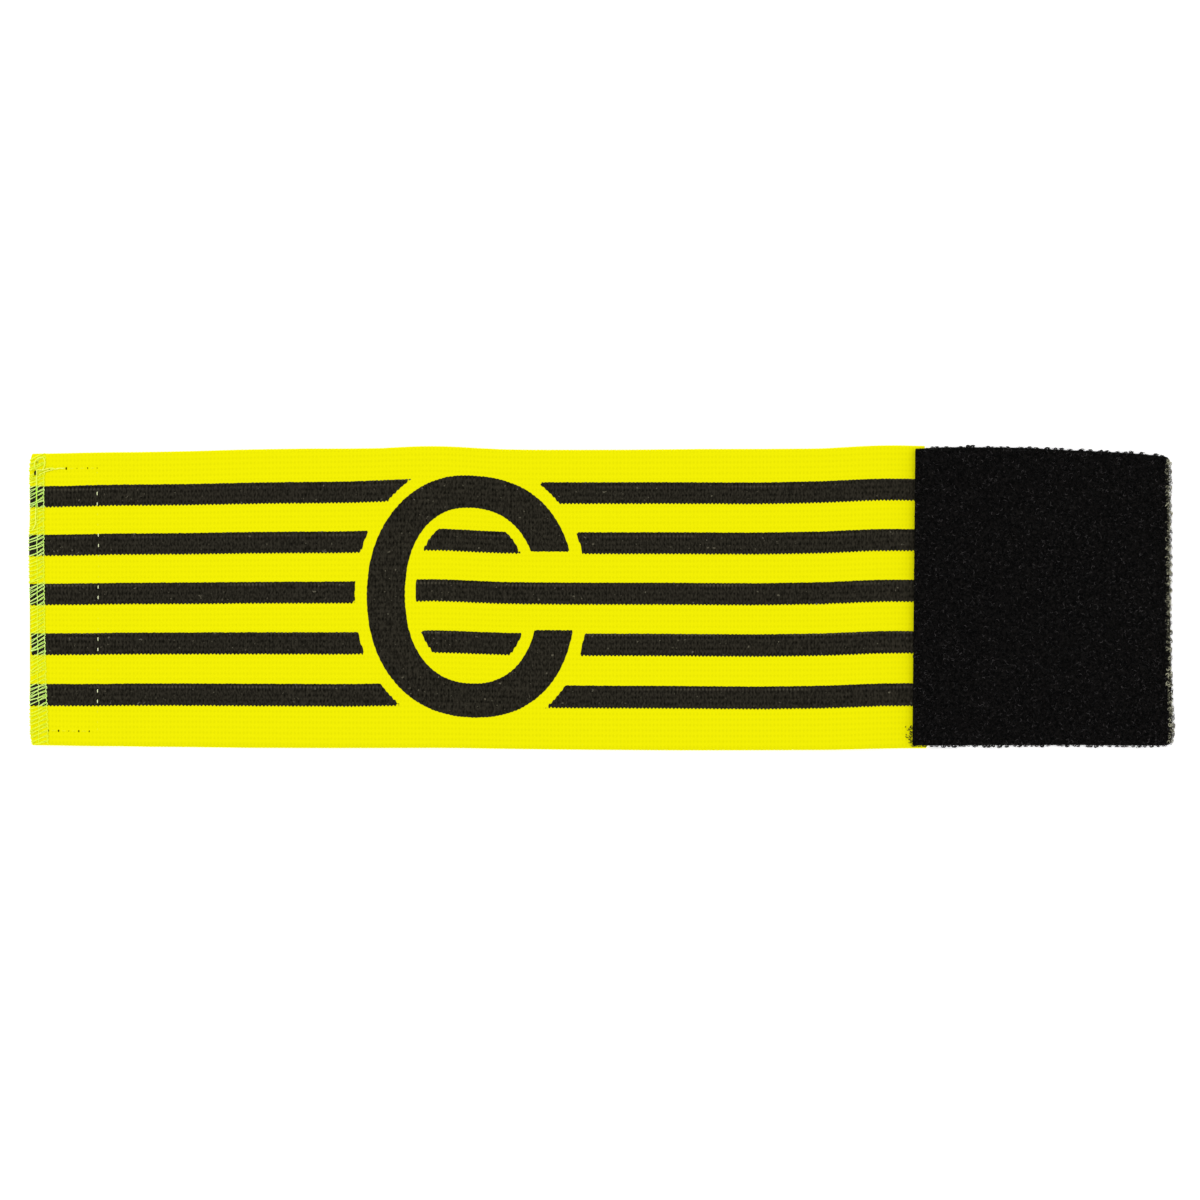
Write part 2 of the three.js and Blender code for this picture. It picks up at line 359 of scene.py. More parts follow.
def read_table(table, place):
    """What a table of places and numbers gives at a place."""
    return float(np.interp(place, *zip(*table)))


def outside_oval(oval, along, across):
    """About how far a point lies outside one of the ovals, and below zero inside it."""
    middle_along, *halves = OVALS[oval]
    middle_across, half_width, half_height, squareness = halves[along > middle_along]
    u = abs(along - middle_along) / half_width + TINY
    v = abs(across - middle_across) / half_height + TINY
    size = (u ** squareness + v ** squareness) ** (1 / squareness)
    power = squareness - 1
    slope = math.hypot(u ** power / half_width, v ** power / half_height) / size ** power
    return (size - 1) / slope


def letter_depth(along, across):
    """How deep a point lies inside the letter, and below zero outside it."""
    return min(
        -outside_oval("letter_outside", along, across),
        outside_oval("letter_counter", along, across),
        max(abs(across - MOUTH_MIDDLE) - MOUTH_HALF, MOUTH_START - along),
    )


def nearest_stripe(along, across):
    """How far above the middle of the nearest stripe a point lies, and half that stripe's width."""
    rise = MIDDLE_STRIPE + read_table(STRIPE_RISES, along)
    offsets = [(across - rise - up * STRIPE_PITCH, width / 2) for up, width in STRIPES]
    return min(offsets, key=lambda offset: abs(offset[0]))


def stripe_depth(along, across):
    """How deep a point lies inside a stripe, which keeps clear of the letter and its bare halo."""
    above, half_width = nearest_stripe(along, across)
    inside_mouth = MOUTH_HALF - MOUTH_HALO - abs(across - MOUTH_MIDDLE)
    room = max(
        outside_oval("outer_halo", along, across),
        -outside_oval("inner_halo", along, across),
        min(along - MOUTH_START, inside_mouth),
    )
    return min(half_width - abs(above), room)


def stripe_side(along, across):
    """-1 at the near edge of a stripe and 1 at its far edge."""
    above, half_width = nearest_stripe(along, across)
    return above / half_width


print("ink at the letter's left:", round(letter_depth(106, 0), 1), "mm deep")

# %% [markdown]
# ## The woven elastic
#
# Wide elastic has fine ribs across its length, 1.1 mm apart here, and shallow grooves along it
# that part the ribs into rows about 1.6 mm wide. A real relief needs a vertex on each crest and in
# each groove, and that is what the grid gets: two columns to a rib and two steps to a row. The
# underside is woven the same way, with wider steps because it is hardly seen. No cloth is cut or
# woven quite straight, so short tables move the stitched end and both long edges a little.

# %% Webbing
BAND_WIDTH = 90 * MM
BAND_THICKNESS = 1.4 * MM
SELVEDGE = 0.9 * MM  # the rounded long edge
RIBS = 245
ROWS = 54
UNDER_ROWS = 14
RIB_DEPTH = 0.11 * MM
ROW_DEPTH = 0.07 * MM
CORNER_REACH = 4.5 * MM  # how far along the cut end its corners are worn away
FAR_CORNER_DEPTH = 0.6 * MM
NEAR_CORNER_DEPTH = 0.65 * MM
END_WANDER = (  # place across, and how far the stitched end lies to the right there, in millimetres
    (-45, -0.05), (-40, -0.07), (-33, -0.2), (-26, 0), (-18, 0.32), (-12, 0.23), (-4, 0.04),
    (1, -0.18), (9, -0.4), (19, -0.45), (24, -0.07), (32, -0.12), (39, -0.3), (43, -0.1),
)
FAR_SELVEDGE = (  # place along, and how much nearer the far selvedge lies there than the solid's
    (0, 0.2), (20, 0.12), (57, -0.05), (85, 0), (105, 0.28), (117, 0), (138, 0), (150, 0.16),
    (180, 0.17), (200, 0.07), (237, 0.25), (255, -0.05),
)
NEAR_SELVEDGE = (  # the same for the near selvedge, which bulges out
    (0, 0.12), (25, 0.12), (35, 0.33), (63, 0.43), (99, 0.25), (130, 0.08), (150, 0.07),
    (195, 0.18), (235, 0.1), (255, 0.22),
)
FAR_SETBACK = 1.0 * MM  # how far the band's other end, under the patch, is cut back
NEAR_SETBACK = 0.1 * MM
END_CORNER = 0.5 * MM  # how far that end is worn back at its near corner
END_CORNER_REACH = 1.5 * MM  # and how far from the near edge
END_SHARPNESS = 60  # the higher, the nearer to the ends their wear stays

band_length = band.high.x - band.low.x
band_rows = cross_section(BAND_WIDTH, SELVEDGE, 2 * ROWS, 2 * UNDER_ROWS)


def worn_end(across):
    """How far the stitched end is set back at a place across, where its corners are worn round."""
    to_edge = max(0, BAND_WIDTH / 2 - abs(across))
    corner = FAR_CORNER_DEPTH if across > 0 else NEAR_CORNER_DEPTH
    wander = read_table(END_WANDER, across / MM) * MM
    return corner * max(0, 1 - to_edge / CORNER_REACH) ** 2 + wander


def webbing_place(column, row):
    """Where a vertex of the webbing lies: on a crest or in a groove of its ribs and rows."""
    across, level, step = row
    along = column / (2 * RIBS)
    share = min(1, max(0, across / BAND_WIDTH + 0.5))
    cut = NEAR_SETBACK + share * (FAR_SETBACK - NEAR_SETBACK)
    cut += END_CORNER * max(0, 1 - share * BAND_WIDTH / END_CORNER_REACH) ** 2
    nearness = abs(2 * along - 1) ** END_SHARPNESS  # 1 at both ends, 0 a little way from them
    x = band.low.x + along * band_length + nearness * (worn_end(across) if along < 0.5 else -cut)
    sunk = RIB_DEPTH * (column % 2 == 0) + ROW_DEPTH * (step % 2 == 0)
    point = band.point(x, across / BAND_WIDTH + 0.5, (level + 1) / 2)
    point.z -= level * sunk
    if abs(level) < 1:
        selvedge = FAR_SELVEDGE if across > 0 else NEAR_SELVEDGE
        point.y -= read_table(selvedge, along * band_length / MM) * MM
        point.y -= math.copysign(RIB_DEPTH / 2, across) * (column % 2 == 0)
    return point


def printed(depth):
    """How deep in a part of the print a vertex of the webbing lies. The underside has no print."""
    def worked_out(column, row):
        across, level, _ = row
        along = column / (2 * RIBS) * band_length
        return float(depth(along / MM, across / MM)) if level == 1 else -1.0
    return worked_out


webbing_mesh = roll_cloth("webbing", 2 * RIBS, band_rows, BAND_THICKNESS, webbing_place, {
    "letter_depth": printed(letter_depth),
    "stripe_depth": printed(stripe_depth),
    "stripe_side": printed(stripe_side),
})
print("webbing vertices:", len(webbing_mesh.vertices))

# %% [markdown]
# ## The elastic's material
#
# The yarn is fluorescent polyester over rubber cores: fully matt, and so strong a yellow that it
# has almost no blue. Its grooves are painted a little darker than its crests: painted shade. The
# ink was pressed on from the far side, so it fills the grooves well at the far edge of a stripe and
# misses them at the near edge, which is toothed rib by rib. That is worked out from the rib and row
# that a point lies on, which the UV map gives. The letter's edge runs across the ribs for most of
# its way, and is nearly smooth. The ink itself is a soft black, with short paler dashes where
# single yarns stand up and a rare speck where one shows through. Its crests are painted a little
# lighter than its grooves, as painted light and shade. Along the far side of a stripe the crests
# are painted lighter still, in stretches a couple of centimetres long: a painted highlight.

# %% Elastic material
webbing_material, tree = new_material(
    "elastic_woven_polyester_printed", roughness=0.85, specular=0.03,
)
YELLOW_CREST = linear(0xF1ED01)
# painted shade: the yellow is a little darker in the grooves than on the crests
YELLOW_GROOVE_SHADE = linear(0xE8E500)
INK_DEEP = linear(0x0A0905)
# paler ink: worn dashes, and the crests painted lighter as painted light
INK_WORN_AND_LIT = linear(0x302D25)
INK_SPECK = linear(0x5E5A4C)
# painted highlight on the crests along the far side of a stripe
INK_RIM_HIGHLIGHT = linear(0x4B473B)
NEAR_TOOTH = 0.18  # millimetres, how far the ink's edge moves from crest to groove
FAR_TOOTH = 0.04
LETTER_TOOTH = 0.05
RAGGED = 0.07  # how far single yarns move it
INK_BLUR = 0.06
YARN_GRAIN = 1.1111 * MM  # about the width of a rib
YARN_RELIEF = 0.03 * MM
DASH_SIZE = (0.5, 1.0526, 0.6667)  # a worn dash is half a millimetre by one, across the band
HIGHLIGHT_STRETCH = 22.222 * MM
CREST_SHARE = 0.35  # how much the crests count beside the dashes in the paler ink: painted crest light

map_uv = add_node(tree, "ShaderNodeUVMap", uv_map="weave")
girth = distances_round(band_rows, BAND_THICKNESS)[-1]
rows_in_girth = girth / ((BAND_WIDTH - 2 * SELVEDGE) / ROWS)


def weave_wave(direction, count):
    """1 on a crest and -1 in a groove, for that many of them in the whole map."""
    place = add_node(tree, "ShaderNodeSeparateXYZ", {0: map_uv}, direction)
    turned = add_node(tree, MATH, {0: place, 1: 2 * math.pi * count}, operation="MULTIPLY")
    wave = add_node(tree, MATH, {0: turned}, operation="COSINE")
    return add_node(tree, MATH, {0: wave, 1: -1.0}, operation="MULTIPLY")


rib_wave = weave_wave("X", RIBS)
row_wave = weave_wave("Y", rows_in_girth)
place = add_node(tree, PLACE, output="Object")
yarn_noise = add_node(tree, NOISE, {"Vector": place, "Scale": 1 / YARN_GRAIN, "Detail": 3.0})
dash_scale = [1 / (size * MM) for size in DASH_SIZE]
dash_place = add_node(tree, "ShaderNodeMapping", {"Vector": place, "Scale": dash_scale})
dash_noise = add_node(tree, NOISE, {"Vector": dash_place, "Scale": 1.0, "Detail": 2.0})
ragged = add_node(tree, RANGE, {
    "Value": yarn_noise, "From Min": 0.3, "From Max": 0.7, "To Min": -RAGGED, "To Max": RAGGED,
})


def ink_edge(attribute, tooth):
    """How deep in one part of the print a point lies, with the teeth of the weave in its edge."""
    depth = add_node(tree, ATTRIBUTE, output="Fac", attribute_name=attribute)
    toothed = add_node(tree, MATH, {0: rib_wave, 1: tooth, 2: depth}, operation="MULTIPLY_ADD")
    return add_node(tree, MATH, {0: toothed, 1: ragged}, operation="ADD")


side = add_node(tree, ATTRIBUTE, output="Fac", attribute_name="stripe_side")
stripe_tooth = add_node(tree, RANGE, {
    "Value": side, "From Min": -1.0, "From Max": 1.0, "To Min": NEAR_TOOTH, "To Max": FAR_TOOTH,
})
stripe_edge = ink_edge("stripe_depth", stripe_tooth)
both = {0: ink_edge("letter_depth", LETTER_TOOTH), 1: stripe_edge}
deepest = add_node(tree, MATH, both, operation="MAXIMUM")
ink = add_node(tree, RANGE, {"Value": deepest, "From Min": -INK_BLUR, "From Max": INK_BLUR})

# crest: 1 on the crossing of a rib and a row's middle, 0 where two grooves cross
weave_sum = add_node(tree, MATH, {0: rib_wave, 1: row_wave}, operation="ADD")
weave_crest = add_node(tree, RANGE, {"Value": weave_sum, "From Min": -2.0, "From Max": 0.2})
uneven = add_node(tree, MATH, {0: yarn_noise, 1: 0.5, 2: -0.25}, operation="MULTIPLY_ADD")
crest = add_node(tree, MATH, {0: weave_crest, 1: uneven}, operation="ADD", use_clamp=True)
dashes = add_node(tree, RANGE, {"Value": dash_noise, "From Min": 0.4, "From Max": 0.62})
# paler ink: the random dashes are wear, the crests' share is painted light and shade
worn = add_node(tree, MIX, {0: CREST_SHARE, 2: dashes, 3: crest})
specks = add_node(tree, RANGE, {"Value": yarn_noise, "From Min": 0.68, "From Max": 0.74})

# painted highlight: the crests along the far side of a stripe are painted lighter, in stretches
rim = add_node(tree, RANGE, {"Value": side, "From Min": 0.45, "From Max": 0.65})
on_stripe = add_node(tree, MATH, {0: stripe_edge, 1: 0.0}, operation="GREATER_THAN")
highlight_stretch_noise = add_node(tree, NOISE, {"Vector": place, "Scale": 1 / HIGHLIGHT_STRETCH, "Detail": 1.0})
highlight_stretches = add_node(tree, RANGE, {"Value": highlight_stretch_noise, "From Min": 0.45, "From Max": 0.65})
rim_highlight = add_node(tree, RANGE, {"Value": weave_sum, "From Min": 0.5, "From Max": 1.9})
for share in (rim, highlight_stretches, on_stripe):
    rim_highlight = add_node(tree, MATH, {0: rim_highlight, 1: share}, operation="MULTIPLY")

# painted shade: the crest mask darkens the yellow towards the grooves
yellow = add_node(tree, MIX, {0: crest, 6: YELLOW_GROOVE_SHADE, 7: YELLOW_CREST}, **COLOURS)
black = INK_DEEP
for share, look in ((worn, INK_WORN_AND_LIT), (specks, INK_SPECK), (rim_highlight, INK_RIM_HIGHLIGHT)):
    black = add_node(tree, MIX, {0: share, 6: black, 7: look}, **COLOURS)
add_node(tree, MIX, {0: ink, 6: yellow, 7: black}, to="Base Color", **COLOURS)
yarn_bump = {"Height": yarn_noise, "Distance": YARN_RELIEF, "Strength": 0.6}
add_node(tree, BUMP, yarn_bump, to="Normal")

webbing = add_piece("webbing", webbing_mesh, webbing_material)
print_nodes = [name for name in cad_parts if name.startswith(("stripe_", "captain_"))]
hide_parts("elastic_band", *print_nodes)

# %% [markdown]
# ## The loop patch
#
# The patch is a knitted nylon base with a pile of tiny loops, brushed into a soft black felt. The
# base is a cloth like the webbing, with a lumpy top. It lies a little lower than the frame's solid,
# because the loops stand up from it to the full height. Its corners are sharp on the band and a
# little worn at the cut end, which was snipped by hand and curves in the middle.

# %% Loop fabric base
PATCH_WIDTH = 88.8 * MM
PATCH_THICKNESS = 2.2 * MM
PATCH_EDGE = 0.8 * MM
PATCH_COLUMNS = 150
PATCH_ROWS = 160
PATCH_UNDER_ROWS = 20
PATCH_INSET = 0.45 * MM  # how far its left end lies inside the frame's solid, near and on top
PATCH_SLANT = 0.85 * MM  # how far that end leans to the right, from near to far
FRINGE = 0.25 * MM  # how far the cut end of the knit lies inside the frame's solid, for its fringe
CUT_LINE = (  # share of the way across, and how much further in the cut lies there, in millimetres
    (0, 0.5), (0.04, 0), (0.12, 0.2), (0.2, 0.55), (0.3, 0.8), (0.5, 1.0), (0.62, 0.8), (1, 0.95),
)
PATCH_CORNER = 1.0 * MM
PILE_HEIGHT = 0.35 * MM  # how far the loops stand above the base
LUMP_SIZE = 2.2 * MM
LUMP_DEPTH = 0.22 * MM
LUMPINESS = (0.8, 2.0, 3)  # the noise's roughness, how much finer each layer is, and the layers


def patch_ends(share):
    """Where the patch starts and ends, at a place across."""
    to_edge = min(share, 1 - share) * PATCH_WIDTH
    q = min(1, max(0, 1 - to_edge / PATCH_CORNER))
    worn = PATCH_CORNER * (1 - math.sqrt(1 - q * q))
    cut = FRINGE + read_table(CUT_LINE, share) * MM
    return patch.low.x + PATCH_INSET + share * PATCH_SLANT, patch.high.x - cut - worn


def patch_point(along, across, level=1):
    """A point of the patch: along from 0 to 1, across in metres and level from -1 to 1."""
    share = across / PATCH_WIDTH + 0.5
    start, end = patch_ends(share)
    return patch.point(start + along * (end - start), share, (level + 1) / 2)


def base_place(column, row):
    """Where a vertex of the base lies."""
    across, level, _ = row
    point = patch_point(column / PATCH_COLUMNS, across, level)
    if level > 0:
        lump = noise.fractal(point / LUMP_SIZE, *LUMPINESS)
        point.z += level * (lump * LUMP_DEPTH - PILE_HEIGHT)
    return point


patch_rows = cross_section(PATCH_WIDTH, PATCH_EDGE, PATCH_ROWS, PATCH_UNDER_ROWS)
base_mesh = roll_cloth("loop_base", PATCH_COLUMNS, patch_rows, PATCH_THICKNESS, base_place)
print("patch's cut end curves in by mm:", max(inset for _, inset in CUT_LINE))

# %% [markdown]
# ## Loop fabric's material
#
# Black nylon filament is shiny one by one, but a brushed pile of it traps light between its loops.
# So the base is nearly black, with a fine mottle for the loops that are too small to model, and
# only the loops on top are a shade lighter.

# %% Loop fabric material
PILE_GRAIN = 0.6667 * MM
PILE_RELIEF = 0.25 * MM

base_material, tree = new_material(
    "loop_fabric_knitted_nylon", roughness=0.95, specular=0.05, ior=NYLON_IOR,
)
swirl = add_node(tree, NOISE, {
    "Vector": add_node(tree, PLACE, output="Object"),
    "Scale": 1 / PILE_GRAIN, "Detail": 4.0, "Distortion": 1.2,
})
tone = add_node(tree, RANGE, {"Value": swirl, "From Min": 0.45, "From Max": 0.75})
base_colours = {0: tone, 6: linear(0x020202), 7: linear(0x1E1C1B)}
add_node(tree, MIX, base_colours, to="Base Color", **COLOURS)
add_node(tree, BUMP, {"Height": swirl, "Distance": PILE_RELIEF, "Strength": 0.9}, to="Normal")

loop_base = add_piece("loop_base", base_mesh, base_material)
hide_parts("loop_patch")

# %% [markdown]
# ## Many small things
#
# The pile has thousands of loops, and the hook tape more than a thousand hooks. One small shape is
# modelled with bmesh. Then copies of its mesh, each turned, scaled and moved by its own matrix, are
# gathered in one bmesh, because a single mesh is far quicker than thousands of objects. The places
# come from a random generator with a fixed seed, so every run gives the same cloth.


# %% Copying one shape to many places
def bent_thread(radius, thickness, degrees, steps, stem=0.0, sides=3):
    """A thin tube that starts with a stem up from the X axis and arches over the origin."""
    shape = bmesh.new()
    bmesh.ops.create_circle(shape, cap_ends=True, segments=sides, radius=thickness / 2)
    bmesh.ops.translate(shape, verts=shape.verts, vec=(radius, 0, -stem))
    if stem:
        grown = bmesh.ops.extrude_face_region(shape, geom=shape.faces[:])["geom"]
        ends = [part for part in grown if isinstance(part, bmesh.types.BMVert)]
        bmesh.ops.translate(shape, verts=ends, vec=(0, 0, stem))
    top = max(shape.faces, key=lambda face: face.calc_center_median().z)
    bmesh.ops.spin(
        shape, geom=[top], cent=(0, 0, 0), axis=(0, -1, 0),
        angle=math.radians(degrees), steps=steps, use_merge=False,
    )
    bmesh.ops.recalc_face_normals(shape, faces=shape.faces)
    return shape


def many(name, shape, places):
    """One mesh of copies of a small shape, one for each matrix in places."""
    model = finished("one_of_" + name, shape)
    gathered = bmesh.new()
    for place in places:
        copy = model.copy()
        copy.transform(place)
        gathered.from_mesh(copy)
        bpy.data.meshes.remove(copy)
    bpy.data.meshes.remove(model)
    return finished(name, gathered)


def placed(point, turn=0.0, lean=0.0, tilt=0.0, size=1.0):
    """The matrix that scales, tilts and leans a shape, turns it about Z and moves it to a point."""
    upright = Matrix.Rotation(turn, 4, "Z") @ Matrix.Rotation(lean, 4, "X")
    rotation = upright @ Matrix.Rotation(tilt, 4, "Y")
    return Matrix.Translation(point) @ rotation @ Matrix.Scale(size, 4)



# %% [markdown]
# ## The pile
#
# Each loop of the brushed pile is an arc of nylon under a millimetre across that has fallen over to
# one side. Neighbours fall about the same way, because the brush passed over them together, and
# that makes the faint swirls that show in the patch. So the way a loop lies comes from a smooth
# noise. Most loops are fine. Some are bundles of filaments, thick enough to be seen one by one.

# %% Pile
FINE_LOOPS = 5000
FINE_RADIUS = 0.34 * MM
FILAMENT = 0.12 * MM
BUNDLES = 4600
BUNDLE_RADIUS = 0.36 * MM
BUNDLE = 0.18 * MM
SWIRL_SIZE = 7 * MM
PILE_SUNK = (0.5, 1.1)  # how deep a loop is rooted, in shares of the pile's height
PILE_SIZES = (0.6, 1.3)
PILE_LEAN = (35, 80)  # degrees from upright
WAY_SPREAD = 0.7  # radians, how much neighbours differ in the way they fall
TILT_SPREAD = 0.2

random = np.random.default_rng(11)


def pile_places(count):
    """Places all over the patch, each lying over its own way."""
    places = []
    for _ in range(count):
        along, share = random.random(2)
        point = patch_point(along, (share - 0.5) * PATCH_WIDTH)
        point.z -= PILE_HEIGHT * random.uniform(*PILE_SUNK)
        way = 2 * math.pi * noise.noise(point / SWIRL_SIZE) + random.normal(0, WAY_SPREAD)
        lean = math.radians(random.uniform(*PILE_LEAN)) * random.choice([-1, 1])
        tilt = random.normal(0, TILT_SPREAD)
        places.append(placed(point, way, lean, tilt, random.uniform(*PILE_SIZES)))
    return places


fine_loop = bent_thread(FINE_RADIUS, FILAMENT, degrees=190, steps=5)
fine_mesh = many("loop_pile", fine_loop, pile_places(FINE_LOOPS))
bundle_loop = bent_thread(BUNDLE_RADIUS, BUNDLE, degrees=150, steps=5)
bundle_mesh = many("loop_bundles", bundle_loop, pile_places(BUNDLES))

# %% [markdown]
# ## The filament's material
#
# A single nylon filament is smoother than the cloth, so it gets a typical nylon roughness and a
# little sheen. Every loop is a separate island of the mesh, and a random number for each island
# makes some of them lighter than others.

# %% Filament material
ISLANDS = "ShaderNodeNewGeometry"  # the node that tells one island of a mesh from another


def nylon_filament(name, dark, light, pale_share):
    """Black nylon whose loops differ one by one: a share of them is a shade lighter."""
    material, tree = new_material(name, roughness=0.55, specular=0.15, ior=NYLON_IOR)
    island = add_node(tree, ISLANDS, output="Random Per Island")
    tone = add_node(tree, RANGE, {"Value": island, "From Min": 1 - pale_share, "From Max": 1.0})
    colours = {0: tone, 6: linear(dark), 7: linear(light)}
    add_node(tree, MIX, colours, to="Base Color", **COLOURS)
    return material


pile_material = nylon_filament("nylon_filament_brushed", 0x030303, 0x434040, 0.33)
loop_pile = add_piece("loop_pile", fine_mesh, pile_material)
loop_bundles = add_piece("loop_bundles", bundle_mesh, pile_material)

# %% [markdown]
# ## The patch's cut end
#
# The patch is cut, not hemmed. Along its right end the cut loops spring out as a fringe of small
# curls, so fine that the white table shines between them and they look olive grey. Every 2.6 mm a
# row of the knit ends, so the fringe bulges out there and draws in between. The same bent thread as
# in the pile, laid on its side, makes the curls.

# %% Frayed end
CURL_RADIUS = 0.42 * MM
CURL_SPACING = 0.4 * MM
CURL_DEPTH = 0.8 * MM  # how far inside the edge a curl may start
CURL_REACH = 0.6 * MM  # and how far outside it
CURLS_ABREAST = 8
CUT_FILAMENT = 0.15 * MM
CURL_LEVELS = (0.1, 1.0)  # where in the patch's thickness they start, which is from -1 to 1
CURL_SIZES = (0.6, 1.4)
CURL_WOBBLE = 0.35  # radians from lying flat
FRINGE_SPREAD = 1.0  # radians from pointing straight out
SCALLOP = 2.6 * MM  # the fringe bulges out and in again in this length
SCALLOP_SHARE = 0.2
LYING_OUT = -math.pi / 2  # leans an arch over until it points to +Y
TO_RIGHT = -math.pi / 2


def edge_curl(point, way, spread, size):
    """A curl that lies about flat and bulges out of an edge."""
    turn = way + random.normal(0, spread)
    return placed(point, turn, LYING_OUT + random.normal(0, CURL_WOBBLE), 0.0, size)


fringe_places = []
fringe_half = PATCH_WIDTH / 2 - PATCH_CORNER
for middle in np.arange(-fringe_half, fringe_half, CURL_SPACING):
    bulge = 1 - SCALLOP_SHARE + SCALLOP_SHARE * math.sin(2 * math.pi * middle / SCALLOP)
    for _ in range(CURLS_ABREAST):
        across = middle + random.normal(0, CURL_SPACING / 2)
        place = patch_point(1.0, across, random.uniform(*CURL_LEVELS))
        place.x += random.uniform(-CURL_DEPTH, CURL_REACH * bulge)
        size = bulge * random.uniform(*CURL_SIZES)
        fringe_places.append(edge_curl(place, TO_RIGHT, FRINGE_SPREAD, size))
cut_curl = bent_thread(CURL_RADIUS, CUT_FILAMENT, degrees=250, steps=7)
fringe_mesh = many("frayed_edge", cut_curl, fringe_places)
# half the curls are painted paler, up to a pale olive grey: painted light for the table shining
# through and between them
fringe_material = nylon_filament("nylon_filament_cut", 0x16150A, 0xD2D0B2, 0.5)
frayed_edge = add_piece("frayed_edge", fringe_mesh, fringe_material)

# %% [markdown]
# ## The patch's long edges
#
# Along both long edges the knit ends in little tufts, large and about 3 mm apart at the far edge,
# small and closer at the near one, with a low fuzz between them. A tuft is a handful of curls that
# start near one place and share one strength, so that some tufts stand out and others hardly show.

# %% Tufts of the long edges
LONG_EDGES = (  # side, way out, the tufts' spacing, curls in each, their size and how far out
    (1, 0.0, 2.75 * MM, 11, 1.2, 0.0),
    (-1, math.pi, 1.85 * MM, 10, 1.15, 0.12 * MM),
)
TUFTS_START = 5.5 * MM  # from the patch's left end
TUFT_STRAY = 0.2  # how far a tuft is off its place, in shares of their spacing
TUFT_STRENGTHS = (0.5, 1.2)
TUFT_FILAMENT = 0.16 * MM
TUFT_SPREAD = 0.24 * MM
TUFT_LEVELS = (-0.5, 0.6)
TUFT_STARTS = (-0.5, 0.8)  # in shares of their depth, inwards
TUFT_DEPTH = 0.3 * MM
TUFT_SIZES = (0.7, 1.1)
TUFT_FAN = 0.6  # radians from pointing straight out
FUZZ_SPACING = 0.4 * MM
FUZZ_OUTWARD = 0.05 * MM
FUZZ_LEVELS = (-0.6, 0.5)
FUZZ_SIZES = (0.6, 1.1)
FUZZ_FAN = 0.8
patch_length = patch.high.x - patch.low.x

tuft_places = []
for side, way, spacing, curls, tuft_size, outward in LONG_EDGES:
    edge = side * PATCH_WIDTH / 2
    for along in np.arange(TUFTS_START, patch_length - spacing / 2, spacing):
        middle = along + random.normal(0, spacing * TUFT_STRAY)
        strength = random.uniform(*TUFT_STRENGTHS)
        for _ in range(curls):
            at = (middle + random.normal(0, TUFT_SPREAD)) / patch_length
            place = patch_point(min(1, at), edge, random.uniform(*TUFT_LEVELS))
            place.y -= side * (random.uniform(*TUFT_STARTS) * TUFT_DEPTH * strength - outward)
            size = tuft_size * strength * random.uniform(*TUFT_SIZES)
            tuft_places.append(edge_curl(place, way, TUFT_FAN, size))
    for along in np.arange(FUZZ_SPACING, patch_length, FUZZ_SPACING):
        place = patch_point(along / patch_length, edge, random.uniform(*FUZZ_LEVELS))
        place.y -= side * (CURL_RADIUS - FUZZ_OUTWARD)
        tuft_places.append(edge_curl(place, way, FUZZ_FAN, random.uniform(*FUZZ_SIZES)))
knit_curl = bent_thread(CURL_RADIUS, TUFT_FILAMENT, degrees=220, steps=6)
tuft_mesh = many("edge_tufts", knit_curl, tuft_places)
tuft_material = nylon_filament("nylon_filament_knit_edge", 0x0A0909, 0x3C3934, 0.3)
edge_tufts = add_piece("edge_tufts", tuft_mesh, tuft_material)

# %% [markdown]
# ## Thread work
#
# Everything sewn is one kind of thing: a round thread that follows a path. A curve object does
# that best, because it runs smoothly through chosen points and gives itself a round section. It is
# then turned into a mesh, and its open ends are closed by merging the caps.

# %% Thread along a path
OVERLOCK_THREAD = 0.235 * MM
STITCH_THREAD = 0.26 * MM


def thread_mesh(name, paths, thickness, fineness=3):
    """Round threads that run smoothly through the points of each path."""
    curve = bpy.data.curves.new(name, "CURVE")
    curve.dimensions = "3D"
    curve.fill_mode = "FULL"
    curve.bevel_depth = thickness / 2
    curve.bevel_resolution = 1
    curve.resolution_u = fineness
    curve.use_fill_caps = True
    for path in paths:
        spline = curve.splines.new("BEZIER")
        spline.bezier_points.add(len(path) - 1)
        for knot, place in zip(spline.bezier_points, path):
            knot.co = place
            knot.handle_left_type = knot.handle_right_type = "AUTO"
    holder = bpy.data.objects.new(name, curve)
    shape = bmesh.new()
    shape.from_mesh(bpy.data.meshes.new_from_object(holder))
    bpy.data.objects.remove(holder)
    bmesh.ops.remove_doubles(shape, verts=shape.verts, dist=WELD)
    bmesh.ops.recalc_face_normals(shape, faces=shape.faces)
    mesh = finished(name, shape)
    depths = mesh.attributes.new("ink_below", "FLOAT", "POINT")
    depths.data.foreach_set("value", [ink_below(vertex.co) for vertex in mesh.vertices])
    return mesh


def ink_below(place):
    """How deep in a stripe the band below a place lies, in millimetres, and below zero outside."""
    near, far = band.at(band.near, place.x), band.at(band.far, place.x)
    across = ((place.y - near) / (far - near) - 0.5) * BAND_WIDTH
    return float(stripe_depth((place.x - band.low.x) / MM, across / MM))


def on_band(along, across, height=0.0):
    """A point above the band's face: along from its stitched end, across from its centre line."""
    point = band.point(band.low.x + along, across / BAND_WIDTH + 0.5)
    return point + Vector((0, 0, height))


print("ink below a place in the middle stripe, in mm:", round(ink_below(on_band(0.05, 0.0)), 1))

# %% [markdown]
# ## Overlocking
#
# The cut end of the band is finished on an overlock machine. Two needles sew two lines parallel to
# the end, and a looper thread runs to and fro between them and the end, wraps round it and locks
# underneath. Each stitch's looper goes up the band on its way in and comes back beside itself, and
# where the two legs part, a small triangle of the band shows between them.

